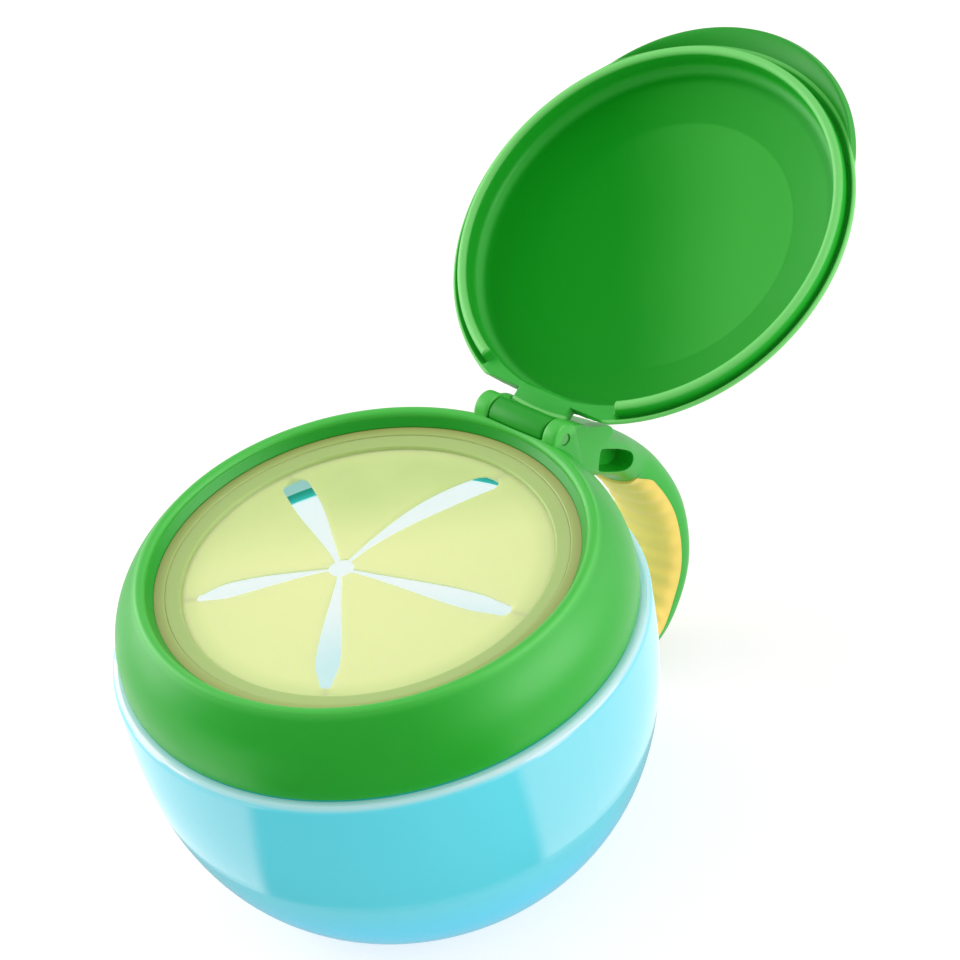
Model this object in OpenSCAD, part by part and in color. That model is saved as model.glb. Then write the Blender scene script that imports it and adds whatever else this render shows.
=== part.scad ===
// Toddler snack container: a round translucent bowl closed by a screw-on collar.
// The collar carries a soft slit membrane, a flip lid on a rear hinge and an open side handle.
// Millimetres. Origin on the bowl's axis at the base. +Z up, the hinge and the handle at +Y.
// The lid is drawn open and the collar screwed home.

/* [Bowl] */
// Widest outside diameter of the bowl
bowl_d = 92; // [90:1:96]
// Height of the bowl's shoulder, just under the collar
shoulder_z = 48.6; // [46:0.2:52]
// Bowl wall thickness
bowl_wall = 2.2; // [1.8:0.1:2.6]
// Bowl floor thickness
floor_t = 3; // [2.4:0.2:4]
// How far the bowl stands out past the collar, all round
shoulder_step = 1.65; // [1.2:0.05:2]
// Wall of the neck that the collar screws on to
neck_wall = 2.2; // [2:0.1:2.4]
// Height of the neck above the shoulder
neck_h = 8.8; // [8.2:0.2:9.4]
// Depth of the ring groove in the base
foot_groove = 0.8; // [0.4:0.1:1.2]

/* [Collar] */
// Wall of the collar outside the screw thread
collar_wall = 2.35; // [2:0.05:2.6]
// How far the collar's web reaches in past the neck's wall
web_lap = 0.5; // [0.4:0.05:0.7]
// Step from the membrane's pocket in to the mouth
mouth_step = 0.6; // [0.5:0.05:0.8]
// Radius of the rolled lip's bead
lip_r = 1.1; // [0.9:0.1:1.3]
// Height of the lip's crest above the membrane carrier
lip_h = 2.35; // [2.2:0.05:2.8]
// Thickness of the collar's web between the seal ring and the membrane pocket
web_t = 0.8; // [0.6:0.1:1]
// Radial room for the screw thread between neck and collar
thread_room = 1.6; // [1.3:0.1:1.8]

/* [Membrane] */
// Thickness of the seal ring on the neck's rim
seal_t = 1.2; // [1:0.1:1.5]
// Thickness of the stiff carrier ring
carrier_t = 1.5; // [1.3:0.1:1.8]
// Radial width of the carrier ring
carrier_w = 3.5; // [3.3:0.1:3.8]
// Radial width of the membrane's raised band, inside the carrier
band_w = 2.6; // [2.4:0.1:2.8]
// Thickness of the flexible disc
disc_t = 1.2; // [1:0.1:1.5]
// Diameter of the star's open centre
hub_d = 3.6; // [3:0.2:4.4]
// Share of their drawn width to which the slits stand open
slit_open = 1; // [0.7:0.05:1.1]

/* [Lid] */
// How far the lid's rim reaches out past the mouth
lid_lap = 0.7; // [0.5:0.05:0.9]
// Height of the dome above the lid's rim
dome_h = 9.6; // [8.6:0.2:11]
// Wall thickness of the lid's shell
lid_wall = 1.6; // [1.3:0.1:1.9]
// Thickness of the plug skirt that drops into the mouth
skirt_t = 1.8; // [1.5:0.1:2]
// Radial room between the skirt and the mouth
skirt_room = 0.9; // [0.8:0.05:1.1]
// How far the skirt reaches below the lid's rim
skirt_h = 2; // [1.6:0.1:2.2]
// Radius of the flatter middle of the lid's roof, inside
roof_r = 24.5; // [22:0.5:27]
// How much the flatter middle takes off the hollow's height
roof_drop = 0.8; // [0.5:0.1:1]
// How far the thumb lip stands out at the front
tab_reach = 4.3; // [3.4:0.1:5]

/* [Hinge] */
// Diameter of the hinge pin
pin_d = 2; // [1.8:0.1:2.4]
// Distance of the pin behind the mouth
pin_set = 3.7; // [3.6:0.05:3.9]
// Depth of the pin below the lip's crest
pin_drop = 0.8; // [0.6:0.05:0.9]
// Distance from the pin to the lid's straight edge
edge_set = 5.75; // [5.6:0.05:6]
// Width of the lid's knuckle between the two ears
knuckle_w = 12; // [11:0.5:13]
// Thickness of each ear
ear_w = 3; // [2.8:0.1:3.4]
// Radius of the ears round the pin
ear_r = 3; // [2.9:0.05:3.3]
// Radius of the lid's knuckle round the pin
knuckle_r = 2.75; // [2.5:0.05:2.9]
// Angle through which the lid swings from closed to fully open
open_angle = 154.4; // [140:0.2:156]

/* [Handle] */
// How far the handle's middle line stands out behind the collar
handle_reach = 23.4; // [21:0.2:26]
// Width of the handle in its middle
handle_w = 15; // [13.5:0.5:16.5]
// Thickness of the handle
handle_t = 8.2; // [7.6:0.2:9]
// Spacing of the ribs on the soft grip
rib_step = 4.4; // [3.6:0.2:5.4]
// Height of the ribs on the soft grip
rib_h = 0.35; // [0.1:0.05:0.5]

/* [Fit clearances] */
// Radial clearance of the pin in the lid's knuckle
pin_gap = 0.06; // [0.03:0.01:0.09]
// Side clearance between knuckle and ears
side_gap = 0.3; // [0.2:0.05:0.4]
// Face clearance between stacked rings
seat_gap = 0.05; // [0.04:0.01:0.1]
// Clearance between the collar's lower edge and the bowl's shoulder
skirt_gap = 0.3; // [0.2:0.05:0.5]
// Clearance round the root of each flap
root_gap = 0.12; // [0.1:0.01:0.15]

/* [Hidden] */
$fn = 96;
bowl_r = bowl_d / 2;
collar_r = bowl_r - shoulder_step;
bore_r = collar_r - collar_wall;
neck_r = bore_r - thread_room;
pocket_r = neck_r - neck_wall - web_lap;
mouth_r = pocket_r - mouth_step;
band_r = pocket_r - carrier_w;
disc_r = band_r - band_w;
// reach of the blocks that only cut away
far = 2 * bowl_d;

// heights of the stacked rings, from the neck's rim up to the lip's crest
neck_z = shoulder_z + neck_h;
seal_z = neck_z + seat_gap;
web_z = seal_z + seal_t + seat_gap;
carrier_z = web_z + web_t;
ceiling_z = carrier_z + carrier_t + seat_gap;
lip_z = ceiling_z + lip_h + 0.1;
collar_z = shoulder_z + skirt_gap;

// the hinge line
pin_y = mouth_r + pin_set;
pin_z = lip_z - pin_drop;
pin_r = pin_d / 2;
ear_x0 = knuckle_w / 2 + side_gap;
ear_x1 = ear_x0 + ear_w;

// the closed lid, before it is swung open
rim_z = lip_z + seat_gap;
lid_r = mouth_r + lid_lap;
lid_cut = pin_y - edge_set;
skirt_r = mouth_r - skirt_room;
skirt_in = skirt_r - skirt_t;
roof_h = dome_h - lid_wall;

// the membrane
disc_z = carrier_z + 0.35;
root_r = disc_t / 2;
// each slit: angle of its outer end, land left outside it, widest opening, sideways bow, taper
slits = [[9.4, 3.4, 3.8, 0.5, 0.5], [83.1, 3, 3.5, 3.6, 0.7], [159, 3.8, 4, -0.3, 0],
         [225.2, 2.6, 3.5, -0.8, 0.7], [298.9, 2.4, 3.7, -0.3, 0.65]];
// the star's centre, pulled aside a little by the soft flaps
hub = [-4.5, -1.9];

// the handle's middle line as shares of reach and drop, from the collar to the tip
handle_line = [[-0.12, 1.04], [0.3, 0.9], [0.605, 0.775], [0.85, 0.615], [1, 0.41], [0.95, 0.19],
               [0.66, 0.035], [0.28, 0]];
handle_y = collar_r - 1.3;
handle_top = ceiling_z - 4.2;
handle_low = handle_t / 2 + 0.7;
arc_n = 16;

// curves

// a superellipse: 1 at t = 0, 0 at t = 1
function sup(t, p) = pow(max(0, 1 - pow(max(0, min(1, t)), p)), 1 / p);

function arc(c, r, a0, a1, n) =
    [for (i = [0:n]) let (a = a0 + (a1 - a0) * i / n) c + r * [cos(a), sin(a)]];

function smooth(t) = let (u = max(0, min(1, t))) u * u * (3 - 2 * u);

function unit(v) = v / norm(v);

function cross2(a, b) = a[0] * b[1] - a[1] * b[0];

// where the line p + s u meets the line q + s v
function crossing(p, u, q, v) = p + u * cross2(q - p, v) / cross2(u, v);

// the bowl

// outside radius of the bowl at height z
function bowl_out(z) = bowl_r * sup((shoulder_z + 1 - z) / (1.1 * (shoulder_z + 1)), 2.65);

// inside radius of the bowl at height z
function bowl_in(z) =
    (bowl_r - bowl_wall) * sup((shoulder_z + 1 - z) / (1.1 * (shoulder_z + 1 - bowl_wall)), 2.65);

function bowl_profile() =
    let (n = 30, zt = shoulder_z - 1.5, rt = bowl_out(zt), zi = shoulder_z - 5, ri = bowl_in(zi),
         ni = neck_r - neck_wall, foot = bowl_out(0))
    concat(
        [[0, 0], [foot / 2, 0], [foot / 2 + 1, foot_groove], [foot - 6.5, foot_groove], [foot - 5.5, 0]],
        [for (i = [0:n]) let (z = zt * pow(i / n, 1.3)) [bowl_out(z), z]],
        [for (q = arc([rt - 1.5, zt], 1.5, 15, 90, 5)) q],
        [[neck_r + 0.5, shoulder_z], [neck_r, shoulder_z + 0.5]],
        arc([neck_r - 0.6, neck_z - 0.6], 0.6, 0, 90, 4),
        arc([ni + 0.6, neck_z - 0.6], 0.6, 90, 180, 4),
        [[ni, shoulder_z - 0.4], [ni + 1.4, shoulder_z - 1.8]],
        arc([ri - 3, zi], 3, 90, 0, 6),
        [for (i = [n - 1:-1:2]) let (z = floor_t + (zi - floor_t) * pow(i / n, 1.3)) [bowl_in(z), z]],
        [[bowl_in(floor_t + 0.4) - 1.6, floor_t], [0, floor_t]]
    );

module bowl() {
    color([0.45, 0.84, 0.93, 0.6])
    rotate_extrude() polygon(bowl_profile());
}

// the rings under the collar

module seal_ring() {
    color([0.93, 0.93, 0.9])
    rotate_extrude()
    translate([neck_r - neck_wall + 0.2, seal_z])
    square([neck_wall - 0.7, seal_t]);
}

module membrane_carrier() {
    ri = band_r;
    ro = pocket_r - 0.1;
    zt = carrier_z + carrier_t;
    color([0.66, 0.74, 0.36])
    rotate_extrude()
    polygon([[ri + 1.4, carrier_z], [ro, carrier_z], [ro, zt], [ri + 2, zt], [ri + 0.3, zt - 0.25],
             [ri, zt - 0.5], [ri, zt - 0.8]]);
}

// the collar

// outside radius of the collar at height z
function collar_out(z) =
    let (w = collar_z + 2.3, top = lip_z - lip_r / 2, rim = mouth_r + 0.1 + lip_r * (1 + cos(30)))
    z < w ? collar_r - 0.06 * (w - z) : collar_r - (collar_r - rim) * fall((z - w) / (top - w));

// the collar's rounded fall from its widest part, 0 at s = 0, up to the lip, 1 at s = 1
function fall(s) = (1 - sup(0.515 * s, 2.2)) / (1 - sup(0.515, 2.2));

module collar_form() {
    bead = [mouth_r + lip_r + 0.1, lip_z - lip_r];
    n = 22;
    ze = lip_z - lip_r / 2;
    rotate_extrude()
    polygon(concat(
        [[0, collar_z], [collar_out(collar_z) - 0.4, collar_z]],
        [for (i = [0:n]) let (z = collar_z + 0.4 + (ze - collar_z - 0.4) * i / n) [collar_out(z), z]],
        arc(bead, lip_r, 30, 90, 5),
        [[0, lip_z]]
    ));
}

module collar_void() {
    bead = [mouth_r + lip_r + 0.1, lip_z - lip_r];
    r = bore_r;
    rotate_extrude()
    polygon(concat(
        [[0, collar_z - 1], [r + 0.5, collar_z - 1], [r + 0.5, collar_z], [r, collar_z + 0.6]],
        [[r, web_z - 0.6], [r - 0.6, web_z], [pocket_r, web_z], [pocket_r, ceiling_z],
         [mouth_r - 1.1, ceiling_z]],
        arc(bead, lip_r, 178, 90, 6),
        [[bead[0], far], [0, far]]
    ));
}

module ear(x) {
    translate([x, pin_y, pin_z])
    rotate([0, 90, 0]) {
        cylinder(r = ear_r, h = ear_w);
        translate([0, -ear_r, 0]) cube([8, 2 * ear_r, ear_w]);
    }
}

// cheek that runs from each ear back into the handle's neck, just under the open lid's edge
module cheek(x) {
    r = ear_r;
    translate([x, pin_y, pin_z])
    rotate([90, 0, 90])
    linear_extrude(ear_w - 0.5)
    polygon([[0, -8], [0, r - 1.2], [r, r - 2.1], [r + 2, -0.2], [r + 3.6, -2.2], [r + 6.5, -3.9],
             [r + 9, -5.6], [r + 9, -8]]);
}

// room for the knuckle and its tongue to swing between the ears
module knuckle_room() {
    x = ear_x0;
    r = knuckle_r + 0.25;
    translate([-x, pin_y, pin_z])
    rotate([90, 0, 90]) {
        cylinder(r = r, h = 2 * x);
        linear_extrude(2 * x)
        polygon([[-r, 0], [0, -r], [1.6, -r - 0.15], [8.5, 0.1], [8.5, 12], [-r, 12]]);
    }
}

// cored-out recess in the side of the handle's neck
module neck_core(side) {
    scale([side, 1, 1])
    translate([3.6, handle_y, ceiling_z])
    rotate([90, 0, 90])
    linear_extrude(ear_x1)
    polygon([[5.6, -6.6], [4.4, -10.1], [5.2, -11.2], [10.1, -15.1], [12.4, -16.1], [13.8, -15.6],
             [14.3, -14.2], [13.7, -12.8], [10.6, -9.9], [6.4, -6.7]]);
}

module collar() {
    color([0.24, 0.66, 0.24])
    difference() {
        union() {
            collar_form();
            ear(ear_x0);
            ear(-ear_x1);
            cheek(ear_x0);
            cheek(0.5 - ear_x1);
            handle_core();
        }
        collar_void();
        knuckle_room();
        neck_core(1);
        neck_core(-1);
        translate([-ear_x1 - 1, pin_y, pin_z]) rotate([0, 90, 0]) cylinder(r = pin_r, h = 2 * ear_x1 + 2);
    }
}

// the handle

function line_pt(i) = let (q = handle_line[max(0, min(len(handle_line) - 1, i))])
    [handle_y + handle_reach * q[0], handle_low + (handle_top - handle_low) * q[1]];

// point of the middle line at parameter u, from 0 at the collar to 6 at the tip
function mid(u) =
    let (i = min(len(handle_line) - 2, floor(u)), t = u - i,
         a = i == 0 ? 2 * line_pt(0) - line_pt(1) : line_pt(i - 1), b = line_pt(i), c = line_pt(i + 1),
         d = i == len(handle_line) - 2 ? 2 * line_pt(i + 1) - line_pt(i) : line_pt(i + 2))
    0.5 * (2 * b + (c - a) * t + (2 * a - 5 * b + 4 * c - d) * t * t + (3 * b - a - 3 * c + d) * t * t * t);

u_end = len(handle_line) - 1;

function along(u) = unit(mid(min(u_end, u + 0.02)) - mid(max(0, u - 0.02)));

// half width, half thickness and squareness of the section
function tip_round(u) = u < u_end - 0.25 ? 1 : sqrt(max(0.02, 1 - pow((u - u_end + 0.25) / 0.252, 2)));
function half_w(u) = tip_round(u) * (handle_w / 2 + (ear_x1 - 0.2 - handle_w / 2) * (1 - smooth(u / 2.6)));
function half_t(u) = tip_round(u) * handle_t / 2;
function square_n(u) = 5 - 2.6 * smooth(u / 2.2);

// line on the section where the hard core ends and the soft grip begins, as a share of the half thickness
u_grip = 2.42;
function seam(u) = -0.99 + 0.5 * smooth((u - u_grip) / 0.04) + 0.32 * smooth((u - u_grip) / 0.5)
    + 0.35 * smooth((u - 5.4) / 1.2);

function seam_angle(u) = let (c = seam(u)) (c < 0 ? -1 : 1) * asin(min(1, pow(abs(c), square_n(u) / 2)));

function ribs(u) = rib_h * (0.5 - 0.5 * cos(360 * u * 11.5 / rib_step));

// one point of the section at angle a; grow pushes it outwards
function sec(u, a, grow) =
    let (n = square_n(u), c = cos(a), s = sin(a), m = mid(u), t = along(u), nn = [-t[1], t[0]],
         x = sign(c) * pow(abs(c), 2 / n) * (half_w(u) + grow),
         v = sign(s) * pow(abs(s), 2 / n) * (half_t(u) + grow))
    [x, m[0] + v * nn[0], m[1] + v * nn[1]];

function core_ring(u) = let (f = seam_angle(u))
    [for (i = [0:arc_n]) sec(u, f + (180 - 2 * f) * i / arc_n, 0)];

function grip_ring(u) = let (f = seam_angle(u))
    [for (i = [0:arc_n]) let (k = i / arc_n) sec(u, 180 - f + (180 + 2 * f) * k, ribs(u) * smooth(6 * min(k, 1 - k)))];

// skins a list of rings with the same number of points
module skin(rings) {
    m = len(rings[0]);
    k = len(rings);
    polyhedron(
        points = [for (r = rings) for (q = r) q],
        faces = concat(
            [[for (i = [m - 1:-1:0]) i]],
            [for (j = [0:k - 2]) for (i = [0:m - 1]) let (i2 = (i + 1) % m) each
                [[j * m + i, (j + 1) * m + i2, (j + 1) * m + i], [j * m + i, j * m + i2, (j + 1) * m + i2]]],
            [[for (i = [0:m - 1]) (k - 1) * m + i]]
        ),
        convexity = 6
    );
}

module handle_core() {
    us = concat([for (i = [0:12]) (u_grip - 0.005) * i / 12],
                [for (i = [0:32]) u_grip + 0.045 + (u_end - 0.3 - u_grip) * i / 32],
                [for (i = [1:5]) u_end - 0.25 * (1 - i / 5)]);
    skin([for (u = us) core_ring(u)]);
}

module handle_grip() {
    u0 = u_grip + 0.05;
    u1 = u_end - 0.3;
    n = 64;
    color([0.88, 0.78, 0.42])
    skin([for (i = [0:n]) grip_ring(u0 + (u1 - u0) * i / n)]);
}

// the membrane

function slit_end(k) = let (q = slits[k % 5]) (disc_r - q[1]) * [cos(q[0]), sin(q[0])];

// line of the root of flap k: a point and a direction
function root_p(k) = slit_end(k);
function root_u(k) = unit(slit_end(k + 1) - slit_end(k));

// half opening of slit k at share t of its length from the centre
function slit_half(k, t) =
    let (q = slits[k % 5], g = q[2] / 2 * slit_open - 0.4)
    0.4 + g * smooth(t / 0.78) * (1 - q[4] * smooth((t - 0.78) / 0.22));

// point on the side of slit k: side 1 is anticlockwise of it
function slit_side(k, t, side) =
    let (e = slit_end(k), d = unit(e - hub), n = [-d[1], d[0]])
    hub + (e - hub) * t + (side * slit_half(k, t) + slits[k % 5][3] * 4 * t * (1 - t)) * n;

function flap_outline(k) =
    let (m = 12, u = root_u(k), a = slit_end(k), b = slit_end(k + 1),
         la = slit_half(k, 1) + 0.35, lb = slit_half(k + 1, 1) + 0.35,
         ta = (hub_d / 2 + 0.6) / norm(a - hub), tb = (hub_d / 2 + 0.6) / norm(b - hub))
    concat(
        [for (i = [0:m]) slit_side(k, ta + (0.93 - ta) * i / m, 1)],
        [a + u * la, b - u * lb],
        [for (i = [m:-1:0]) slit_side(k + 1, tb + (0.93 - tb) * i / m, -1)]
    );

module flap(k) {
    a = slit_end(k);
    b = slit_end(k + 1);
    u = root_u(k);
    la = slit_half(k, 1) + 0.5;
    lb = slit_half(k + 1, 1) + 0.5;
    color([0.91, 0.95, 0.7]) {
        translate([0, 0, disc_z - disc_t]) linear_extrude(disc_t) polygon(flap_outline(k));
        translate([a[0] + u[0] * la, a[1] + u[1] * la, disc_z - root_r])
        rotate([0, 90, atan2(u[1], u[0])])
        rotate([0, 0, 130])
        cylinder(r = root_r - 0.04, h = norm(b - a) - la - lb, $fn = 48);
    }
}

module flap_1() { flap(0); }
module flap_2() { flap(1); }
module flap_3() { flap(2); }
module flap_4() { flap(3); }
module flap_5() { flap(4); }

// corner k of the window in the membrane, clear of the roots of the flaps
function window_corner(k) =
    let (d = root_r + root_gap, u0 = root_u((k + 4) % 5), u1 = root_u(k),
         n0 = [u0[1], -u0[0]], n1 = [u1[1], -u1[0]])
    crossing(slit_end(k) + n0 * d, u0, slit_end(k) + n1 * d, u1);

module membrane() {
    ri = band_r - 0.1;
    rd = disc_r;
    zb = disc_z - disc_t;
    zt = carrier_z + carrier_t - 0.45;
    color([0.78, 0.84, 0.52])
    difference() {
        rotate_extrude()
        polygon([[0, zb], [rd + 0.6, zb], [rd + 1, zb - 0.1], [pocket_r - 0.1, zb - 0.1],
                 [pocket_r - 0.1, carrier_z - seat_gap], [ri + 1.3, carrier_z - seat_gap],
                 [ri, zt - 0.5], [ri, zt], [rd + 0.2, zt - 0.1], [rd, disc_z], [0, disc_z]]);
        translate([0, 0, zb - 1])
        linear_extrude(disc_t + 2)
        polygon([for (k = [0:4]) window_corner(k)]);
        for (k = [0:4]) {
            translate([slit_end(k)[0], slit_end(k)[1], zb - 1])
            cylinder(r = slit_half(k, 1) + 0.35, h = disc_t + 2, $fn = 48);
        }
    }
}

// the lid

// outside radius of the dome at height h above the rim
function dome_out(h) = lid_r * sup((h - 0.5) / (dome_h - 0.5), 1.6);

// height of the hollow's roof above the rim at radius r, with a soft crease round its middle
function roof_arch(r) = 0.5 + (roof_h - 0.5) * sup(r / (lid_r - 0.6), 1.6);
function roof_in(r) = let (hc = roof_arch(roof_r), q = r / roof_r)
    r > roof_r ? roof_arch(r) : hc + (roof_h - roof_drop - hc) * (1 - q * q);

module dome_form() {
    n = 20;
    rotate_extrude()
    polygon(concat(
        [[0, 0], [lid_r - 0.3, 0]],
        [for (i = [0:n]) let (h = 0.3 + (dome_h - 0.3) * sin(90 * i / n)) [dome_out(h), h]]
    ));
}

// thumb lip at the front: a lower disc set forward
module thumb_form() {
    r = lid_r - 5.4;
    n = 8;
    translate([0, -(lid_r + tab_reach - r), 0])
    rotate_extrude()
    polygon(concat(
        [[0, 0.3], [r - 1, 0.3], [r - 0.2, 0.7]],
        [for (i = [0:n]) let (h = 1 + 3 * sin(90 * i / n)) [r * sup((h - 1) / 3.2, 2), h]]
    ));
}

module lid_hollow() {
    n = 9;
    ri = skirt_in;
    intersection() {
        rotate_extrude()
        polygon(concat(
            [[0, -5], [ri, -5]],
            [for (i = [0:n]) let (r = ri + (roof_r - ri) * i / n) [r, roof_in(r)]],
            [for (i = [1:n]) let (r = roof_r * cos(90 * i / n)) [r, roof_in(r)]]
        ));
        translate([-far / 2, lid_cut - lid_wall - far, -6]) cube(far);
    }
}

// plug skirt, open on the hinge side
module plug_skirt() {
    a = asin(14.5 / skirt_r);
    rotate([0, 0, 90 + a])
    rotate_extrude(angle = 360 - 2 * a)
    polygon([[skirt_in, 1], [skirt_in, -skirt_h + 0.4], [skirt_in + 0.4, -skirt_h],
             [skirt_r - 0.5, -skirt_h], [skirt_r, -skirt_h + 0.5], [skirt_r, 1]]);
}

// groove between the skirt and the shell's rim
module rim_groove() {
    a = asin(14.5 / skirt_r);
    rotate([0, 0, 90 + a])
    rotate_extrude(angle = 360 - 2 * a)
    polygon([[skirt_r, -1], [skirt_r, 0.9], [skirt_r + 0.2, 1.1], [lid_r - 0.9, 0.8], [lid_r - 0.7, -1]]);
}

// lid in its closed place, heights measured from its rim plane
module lid_closed() {
    dz = pin_z - rim_z;
    kr = knuckle_r;
    difference() {
        union() {
            difference() {
                union() {
                    dome_form();
                    thumb_form();
                }
                translate([-far / 2, lid_cut, -far / 2]) cube(far);
                rim_groove();
                lid_hollow();
            }
            plug_skirt();
            translate([-knuckle_w / 2, pin_y, dz]) rotate([0, 90, 0]) cylinder(r = kr, h = knuckle_w);
            translate([-knuckle_w / 2, lid_cut - 1, 0]) cube([knuckle_w, pin_y - lid_cut + 1, dz + kr]);
        }
        translate([-knuckle_w, pin_y, dz]) rotate([0, 90, 0]) cylinder(r = pin_r + pin_gap, h = 2 * knuckle_w);
    }
}

module lid() {
    color([0.2, 0.64, 0.2])
    translate([0, pin_y, pin_z])
    rotate([-open_angle, 0, 0])
    translate([0, -pin_y, rim_z - pin_z])
    lid_closed();
}

module hinge_pin() {
    color([0.8, 0.81, 0.82])
    translate([-ear_x1 + 0.2, pin_y, pin_z])
    rotate([0, 90, 0])
    cylinder(r = pin_r, h = 2 * ear_x1 - 0.4);
}

// the parts

bowl();
seal_ring();
collar();
handle_grip();
membrane_carrier();
membrane();
flap_1();
flap_2();
flap_3();
flap_4();
flap_5();
lid();
hinge_pin();
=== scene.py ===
import bpy, bmesh, math
import numpy as np
from mathutils import Matrix, Vector

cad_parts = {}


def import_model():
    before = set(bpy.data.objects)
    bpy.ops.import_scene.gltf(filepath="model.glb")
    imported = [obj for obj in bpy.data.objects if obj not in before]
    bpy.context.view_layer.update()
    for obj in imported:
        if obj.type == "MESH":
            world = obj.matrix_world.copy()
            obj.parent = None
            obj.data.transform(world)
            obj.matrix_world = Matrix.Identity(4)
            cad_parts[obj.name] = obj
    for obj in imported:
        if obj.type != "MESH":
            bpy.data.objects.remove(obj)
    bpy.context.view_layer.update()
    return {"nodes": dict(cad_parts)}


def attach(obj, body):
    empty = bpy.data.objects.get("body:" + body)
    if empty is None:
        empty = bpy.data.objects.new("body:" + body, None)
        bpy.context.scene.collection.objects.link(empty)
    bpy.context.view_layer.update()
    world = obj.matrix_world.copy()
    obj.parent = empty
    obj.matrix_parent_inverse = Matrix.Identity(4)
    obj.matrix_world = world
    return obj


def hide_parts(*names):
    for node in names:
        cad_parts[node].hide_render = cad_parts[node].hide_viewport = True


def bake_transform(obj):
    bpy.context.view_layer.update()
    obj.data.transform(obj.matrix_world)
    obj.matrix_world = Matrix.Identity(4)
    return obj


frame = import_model()
nodes = frame["nodes"]
MM = 0.001
DEG = math.pi / 180


# the camera

def make_camera():
    """The photo's camera, as fitted to the outlines in the photo."""
    cam = bpy.data.objects.new("camera", bpy.data.cameras.new("camera"))
    bpy.context.scene.collection.objects.link(cam)
    cam.data.lens, cam.data.sensor_width = 167.03, 36.0
    right = Vector((0.7376485, 0.6556438, -0.1612633))
    up = Vector((-0.3225918, 0.5520542, 0.7688763))
    back = Vector((0.5931351, -0.5151382, 0.6187273))
    m = Matrix((right, up, back)).transposed().to_4x4()
    m.translation = Vector((0.448064, -0.360943, 0.526398))
    cam.matrix_world = m
    cam.data.clip_start, cam.data.clip_end = 0.05, 20
    bpy.context.scene.camera = cam


make_camera()


# material helpers

def srgb(r, g, b):
    f = lambda c: (c / 255 / 12.92) if c <= 10.31 else ((c / 255 + 0.055) / 1.055) ** 2.4
    return (f(r), f(g), f(b), 1.0)


class Mat:
    """A small node tree builder."""

    def __init__(self, name):
        self.m = bpy.data.materials.new(name)
        self.m.use_nodes = True
        self.t = self.m.node_tree
        self.t.nodes.clear()
        self.out = self.n("ShaderNodeOutputMaterial")

    def n(self, kind, **kw):
        node = self.t.nodes.new(kind)
        for k, v in kw.items():
            setattr(node, k, v)
        return node

    def put(self, socket, v):
        if isinstance(v, bpy.types.NodeSocket):
            self.t.links.new(v, socket)
        else:
            socket.default_value = v

    def bsdf(self, **kw):
        b = self.n("ShaderNodeBsdfPrincipled")
        for k, v in kw.items():
            self.put(b.inputs[k.replace("_", " ")], v)
        return b

    def coords(self):
        return self.n("ShaderNodeTexCoord").outputs["Object"]

    def axis(self, k):
        s = self.n("ShaderNodeSeparateXYZ")
        self.put(s.inputs[0], self.coords())
        return s.outputs[k]

    def noise(self, scale, detail=3.0, rough=0.5):
        x = self.n("ShaderNodeTexNoise")
        x.inputs["Scale"].default_value = scale
        x.inputs["Detail"].default_value = detail
        x.inputs["Roughness"].default_value = rough
        self.put(x.inputs["Vector"], self.coords())
        return x.outputs["Fac"]

    def math(self, op, a, b=0.0):
        x = self.n("ShaderNodeMath", operation=op)
        self.put(x.inputs[0], a)
        self.put(x.inputs[1], b)
        return x.outputs[0]

    def step(self, v, lo, hi, a=0.0, b=1.0):
        """Smooth step of v from lo to hi, giving a to b."""
        x = self.n("ShaderNodeMapRange", interpolation_type="SMOOTHSTEP")
        self.put(x.inputs["Value"], v)
        for k, q in (("From Min", lo), ("From Max", hi), ("To Min", a), ("To Max", b)):
            x.inputs[k].default_value = q
        return x.outputs["Result"]

    def length(self, x, y):
        return self.math("SQRT", self.math("ADD", self.math("MULTIPLY", x, x), self.math("MULTIPLY", y, y)))

    def radius(self, cx=0.0, cy=0.0):
        """Distance from the upright axis through (cx, cy)."""
        return self.length(self.math("ADD", self.axis(0), -cx), self.math("ADD", self.axis(1), -cy))

    def mix(self, fac, a, b):
        x = self.n("ShaderNodeMix", data_type="RGBA")
        self.put(x.inputs[0], fac)
        self.put(x.inputs[6], a)
        self.put(x.inputs[7], b)
        return x.outputs[2]

    def ramp(self, fac, stops):
        r = self.n("ShaderNodeValToRGB")
        e = r.color_ramp.elements
        while len(e) < len(stops):
            e.new(0.5)
        for i, (p, c) in enumerate(stops):
            e[i].position = p
            e[i].color = c
        self.put(r.inputs["Fac"], fac)
        return r.outputs["Color"]

    def bump(self, height, strength=0.2, distance=0.0002, normal=None):
        b = self.n("ShaderNodeBump")
        b.inputs["Strength"].default_value = strength
        b.inputs["Distance"].default_value = distance
        self.put(b.inputs["Height"], height)
        if normal is not None:
            self.put(b.inputs["Normal"], normal)
        return b.outputs["Normal"]

    def soft_edges(self, radius):
        b = self.n("ShaderNodeBevel", samples=6)
        b.inputs["Radius"].default_value = radius
        return b.outputs["Normal"]

    def shaders(self, fac, a, b):
        x = self.n("ShaderNodeMixShader")
        self.put(x.inputs[0], fac)
        self.put(x.inputs[1], a.outputs[0])
        self.put(x.inputs[2], b.outputs[0])
        return x

    def done(self, shader):
        self.t.links.new(shader.outputs[0], self.out.inputs["Surface"])
        return self.m


def tint(c, k):
    return (c[0] * k, c[1] * k, c[2] * k, 1.0)


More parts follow.
